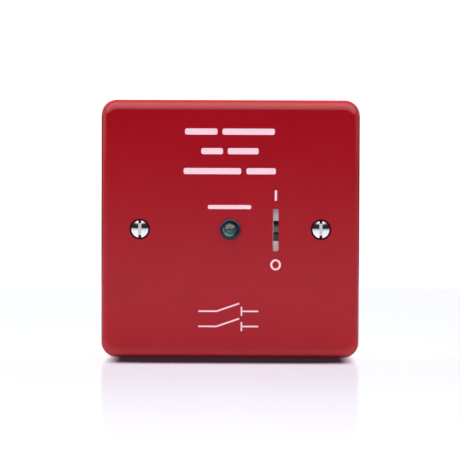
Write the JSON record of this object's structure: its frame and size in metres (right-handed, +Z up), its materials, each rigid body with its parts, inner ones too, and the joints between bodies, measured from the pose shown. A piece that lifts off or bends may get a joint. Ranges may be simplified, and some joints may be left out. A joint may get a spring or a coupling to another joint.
{
  "type": "key-operated mains isolator switch",
  "caption": "Red single-gang isolator plate with power lamp and key slot for a fire alarm supply, double-pole rocker mechanism inside, on a white surface box.",
  "frame": {"origin": "centre of the surface box's rear face, which lies against the wall", "axes": "+Y into the wall, so the front faces -Y; +Z up; +X to the right seen from the front"},
  "size_m": [0.086, 0.0422, 0.086],
  "materials": {
    "red_plate": "gloss",
    "white_box": "satin",
    "nickel_screw": "polished",
    "brass": "satin",
    "black_bezel": "satin",
    "retaining_ring": "matt",
    "lamp": "clear tinted",
    "tinned_lead": "bright",
    "circuit_board": "satin",
    "zinc_screw": "bright",
    "resistor_body": "satin",
    "diode_body": "matt",
    "brown_wire": "satin",
    "blue_wire": "satin",
    "grey_cover": "satin",
    "grey_housing": "matt",
    "copper_strip": "satin",
    "silver_tip": "bright",
    "steel_pin": "ground",
    "grey_rocker": "satin",
    "spring_steel": "bright"
  },
  "bodies": {
    "enclosure": {"front_plate": "red_plate", "back_box": "white_box", "faceplate_screws": "nickel_screw", "box_inserts": "brass", "led_bezel": "black_bezel", "led_retaining_ring": "retaining_ring", "led_lamp": "lamp", "led_leads": "tinned_lead", "indicator_board": "circuit_board", "board_screws": "zinc_screw", "dropper_resistors": "resistor_body", "rectifier_diode": "diode_body", "component_leads": "tinned_lead", "indicator_wire_live": "brown_wire", "indicator_wire_neutral": "blue_wire", "switch_cover": "grey_cover", "switch_housing": "grey_housing", "module_screws": "zinc_screw", "line_contact_strips": "copper_strip", "load_contact_strips": "copper_strip", "fixed_contact_tips": "silver_tip", "line_terminal_blocks": "brass", "load_terminal_blocks": "brass", "terminal_screws": "zinc_screw", "rocker_pivot_pin": "steel_pin", "earth_terminal_block": "brass", "earth_terminal_screw": "zinc_screw"},
    "rocker": {"key_rocker": "grey_rocker", "contact_plungers": "brass", "contact_springs": "spring_steel"},
    "neutral_contact": {"moving_contact_neutral": "copper_strip", "moving_tip_neutral": "silver_tip"},
    "live_contact": {"moving_contact_live": "copper_strip", "moving_tip_live": "silver_tip"}
  },
  "joints": [
    {"name": "rocker_tilt", "type": "hinge", "parent": "enclosure", "child": "rocker", "pos_m": [0.015, -0.031, -0.0006], "axis": [1, 0, 0], "range_deg": [0, 12]},
    {"name": "live_contact_tilt", "type": "hinge", "parent": "enclosure", "child": "live_contact", "pos_m": [0.02, -0.0185, -0.0006], "axis": [1, 0, 0], "range_deg": [-21, 0]},
    {"name": "neutral_contact_tilt", "type": "hinge", "parent": "enclosure", "child": "neutral_contact", "pos_m": [0.01, -0.0185, -0.0006], "axis": [1, 0, 0], "range_deg": [-21, 0]}
  ],
  "couplings": [
    {"joint": "live_contact_tilt", "follows": "rocker_tilt", "ratio": -1.75},
    {"joint": "neutral_contact_tilt", "follows": "rocker_tilt", "ratio": -1.75}
  ]
}
